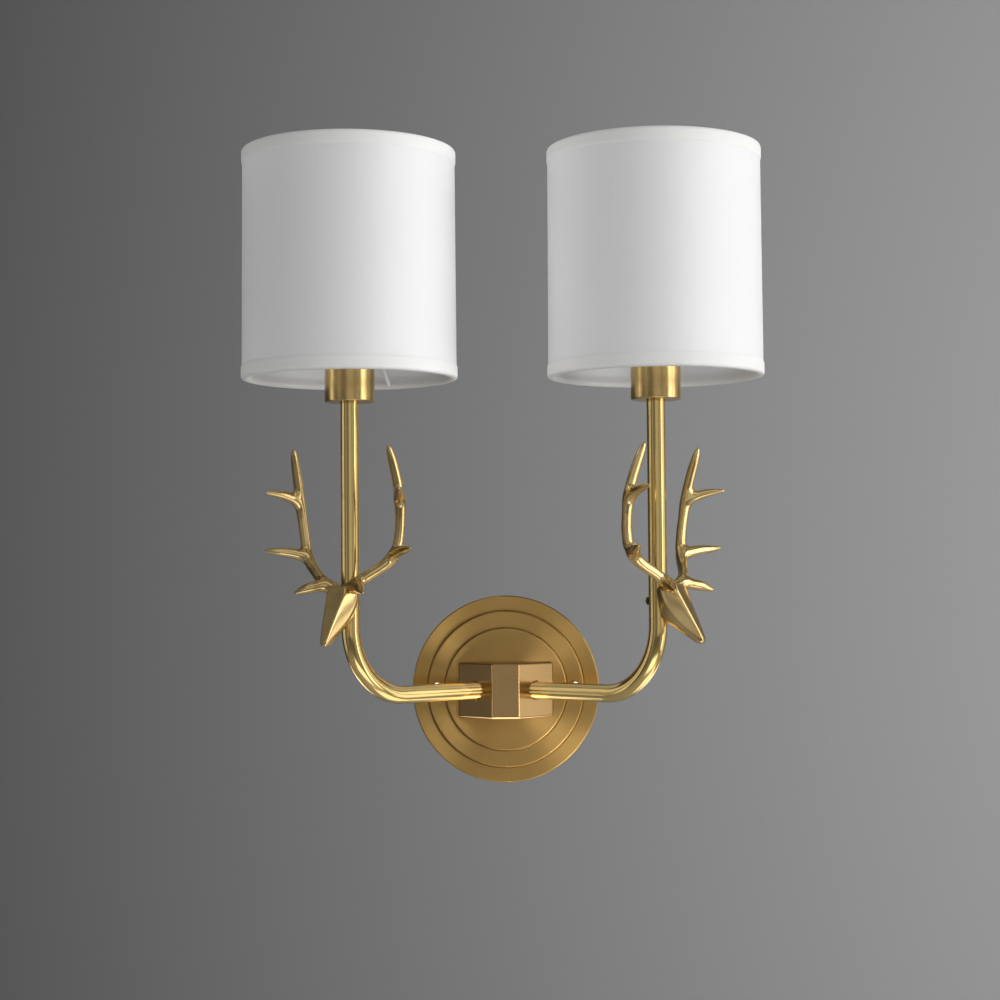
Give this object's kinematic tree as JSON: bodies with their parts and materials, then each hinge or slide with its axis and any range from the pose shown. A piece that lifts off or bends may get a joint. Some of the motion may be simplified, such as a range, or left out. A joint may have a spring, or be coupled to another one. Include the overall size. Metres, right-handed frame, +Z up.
{
  "type": "wall lamp",
  "caption": "Brass wall lamp: stepped round wall plate, cast hub, bent tube arms, stag heads with antlers on the arms and white cloth drum shades over screw-cap bulbs.",
  "frame": {"origin": "centre of the wall screw pattern on the wall plane, on the axis of the wall plate", "axes": "+Z up, +Y into the wall, the lamp faces -Y, +X to the right seen from the room"},
  "size_m": [0.314, 0.1718, 0.389],
  "materials": {
    "satin_brass": "satin brushed, antique tone",
    "cast_brass": "cast and satin polished",
    "polished_brass": "polished",
    "plain_brass": "plain turned",
    "bright_nickel": "bright plated",
    "zinc_steel": "zinc plated",
    "dark_screw": "browned",
    "white_wire": "white coated wire",
    "shade_cloth": "white satin cloth on a stiff lining",
    "hem_tape": "white folded tape",
    "holder_plastic": "moulded",
    "white_plastic": "moulded nylon",
    "wire_cover": "wire insulation",
    "opal_glass": "opal",
    "bulb_cap_metal": "plated cap"
  },
  "bodies": {
    "wall_frame": {"antler_left_inner": "cast_brass", "antler_left_outer": "cast_brass", "antler_right_inner": "cast_brass", "antler_right_outer": "cast_brass", "arm_nut_left": "plain_brass", "arm_nut_right": "plain_brass", "arm_tube_left": "polished_brass", "arm_tube_right": "polished_brass", "arm_wires_left": "wire_cover", "arm_wires_right": "wire_cover", "bracket_studs": "zinc_steel", "cup_nut_left": "plain_brass", "cup_nut_right": "plain_brass", "earth_screw": "zinc_steel", "head_screw_left": "dark_screw", "head_screw_right": "dark_screw", "hub_block": "satin_brass", "hub_screws": "zinc_steel", "lampholder_left": "holder_plastic", "lampholder_right": "holder_plastic", "mounting_bracket": "zinc_steel", "socket_contacts_left": "plain_brass", "socket_contacts_right": "plain_brass", "socket_cup_left": "satin_brass", "socket_cup_right": "satin_brass", "stag_head_left": "cast_brass", "stag_head_right": "cast_brass", "stud_nuts": "zinc_steel", "terminal_block": "white_plastic", "terminal_fixing_screw": "zinc_steel", "terminal_screws": "zinc_steel", "wall_plate": "satin_brass"},
    "shade_left": {"shade_spider_left": "white_wire", "shade_top_wire_left": "white_wire", "shade_fabric_left": "shade_cloth", "shade_bottom_hem_left": "hem_tape", "shade_top_hem_left": "hem_tape"},
    "ring_left": {"shade_ring_left": "holder_plastic"},
    "bulb_left": {"bulb_glass_left": "opal_glass", "bulb_cap_left": "bulb_cap_metal"},
    "nut_left": {"cap_nut_left": "bright_nickel"},
    "shade_right": {"shade_spider_right": "white_wire", "shade_top_wire_right": "white_wire", "shade_fabric_right": "shade_cloth", "shade_bottom_hem_right": "hem_tape", "shade_top_hem_right": "hem_tape"},
    "ring_right": {"shade_ring_right": "holder_plastic"},
    "bulb_right": {"bulb_glass_right": "opal_glass", "bulb_cap_right": "bulb_cap_metal"},
    "nut_right": {"cap_nut_right": "bright_nickel"}
  },
  "joints": [
    {"name": "shade_turn_left", "type": "hinge", "parent": "wall_frame", "child": "shade_left", "pos_m": [-0.092, -0.1068, 0.21], "axis": [0, 0, 1], "continuous": true},
    {"name": "shade_ring_turn_left", "type": "hinge", "parent": "wall_frame", "child": "ring_left", "pos_m": [-0.092, -0.1068, 0.21], "axis": [0, 0, 1], "range_deg": [0, 720]},
    {"name": "bulb_turn_left", "type": "hinge", "parent": "wall_frame", "child": "bulb_left", "pos_m": [-0.092, -0.1068, 0.21], "axis": [0, 0, 1], "range_deg": [0, 1080]},
    {"name": "cap_nut_turn_left", "type": "hinge", "parent": "wall_frame", "child": "nut_left", "pos_m": [-0.0445, -0.0171, 0], "axis": [0, -1, 0], "range_deg": [0, 1800]},
    {"name": "shade_turn_right", "type": "hinge", "parent": "wall_frame", "child": "shade_right", "pos_m": [0.092, -0.1068, 0.21], "axis": [0, 0, 1], "continuous": true},
    {"name": "shade_ring_turn_right", "type": "hinge", "parent": "wall_frame", "child": "ring_right", "pos_m": [0.092, -0.1068, 0.21], "axis": [0, 0, 1], "range_deg": [0, 720]},
    {"name": "bulb_turn_right", "type": "hinge", "parent": "wall_frame", "child": "bulb_right", "pos_m": [0.092, -0.1068, 0.21], "axis": [0, 0, 1], "range_deg": [0, 1080]},
    {"name": "cap_nut_turn_right", "type": "hinge", "parent": "wall_frame", "child": "nut_right", "pos_m": [0.0445, -0.0171, 0], "axis": [0, -1, 0], "range_deg": [0, 1800]}
  ]
}
